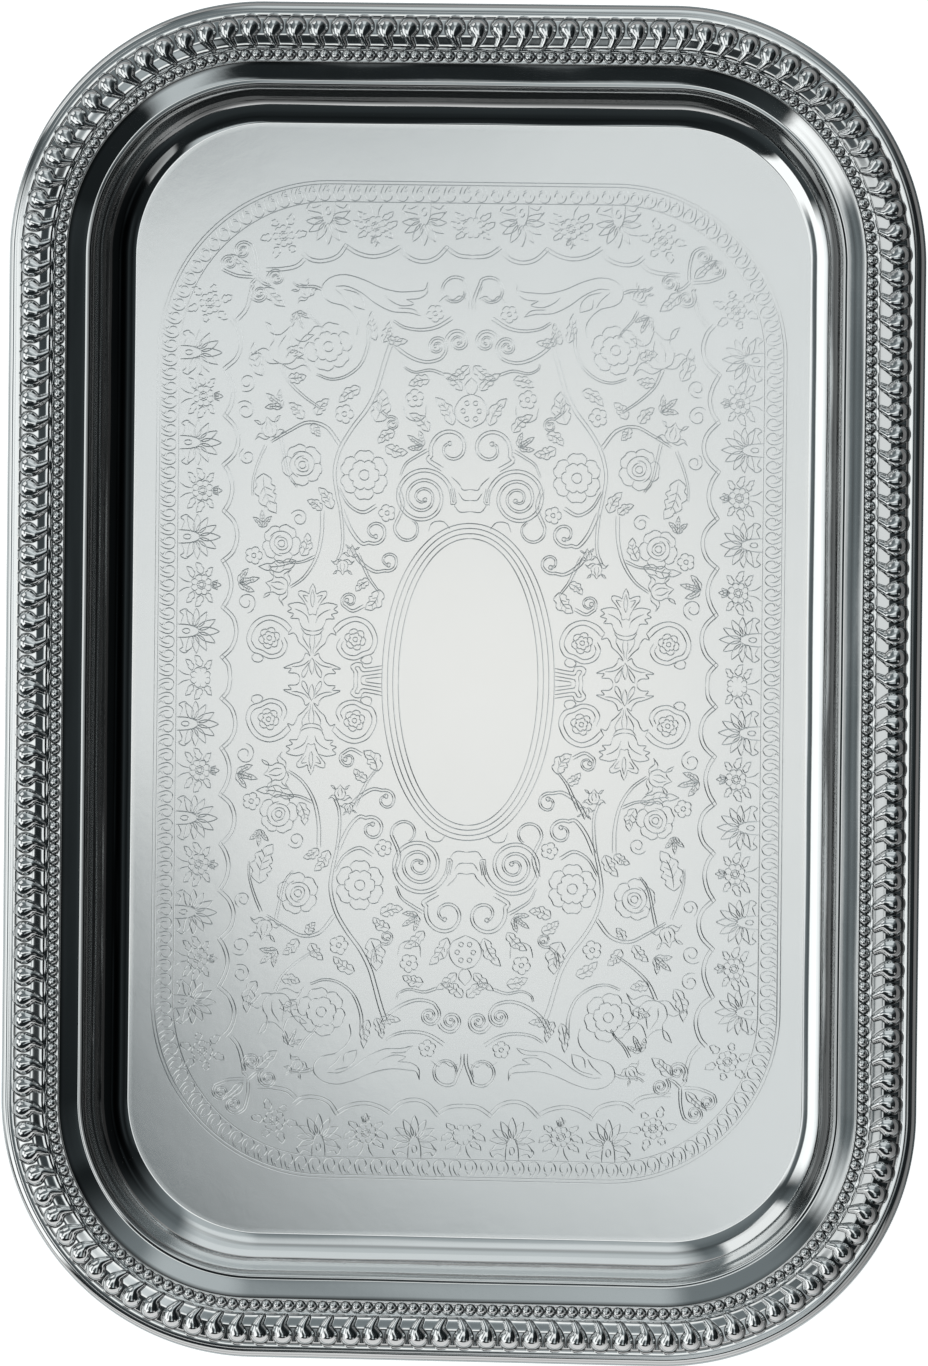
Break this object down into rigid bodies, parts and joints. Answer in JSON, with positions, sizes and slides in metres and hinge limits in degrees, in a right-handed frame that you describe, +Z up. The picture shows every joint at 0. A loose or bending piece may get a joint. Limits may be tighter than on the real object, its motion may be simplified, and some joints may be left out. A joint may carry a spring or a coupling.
{
  "type": "rectangular serving salver",
  "caption": "Rectangular silver-plated serving salver with rounded corners, cove wall, gadroon and bead border, rolled edge and engraved floor.",
  "frame": {"origin": "on the table, under the centre of the floor's underside", "axes": "+Z up out of the well; X across the short way; Y along the long way, with +Y towards the end that is at the top of the picture"},
  "size_m": [0.318, 0.466, 0.0225],
  "materials": {
    "plate": "bright silver-plated sheet, mirror polished, engraved on the floor",
    "border": "bright silver-plated die-struck border, polished",
    "wire": "drawn steel wire, bare"
  },
  "bodies": {
    "root": {"tray_pan": "plate", "rim_wire": "wire", "gadroon_border_far_right": "border", "gadroon_border_far_left": "border", "gadroon_border_near_left": "border", "gadroon_border_near_right": "border", "bead_border_far_right": "border", "bead_border_far_left": "border", "bead_border_near_left": "border", "bead_border_near_right": "border"}
  },
  "joints": []
}
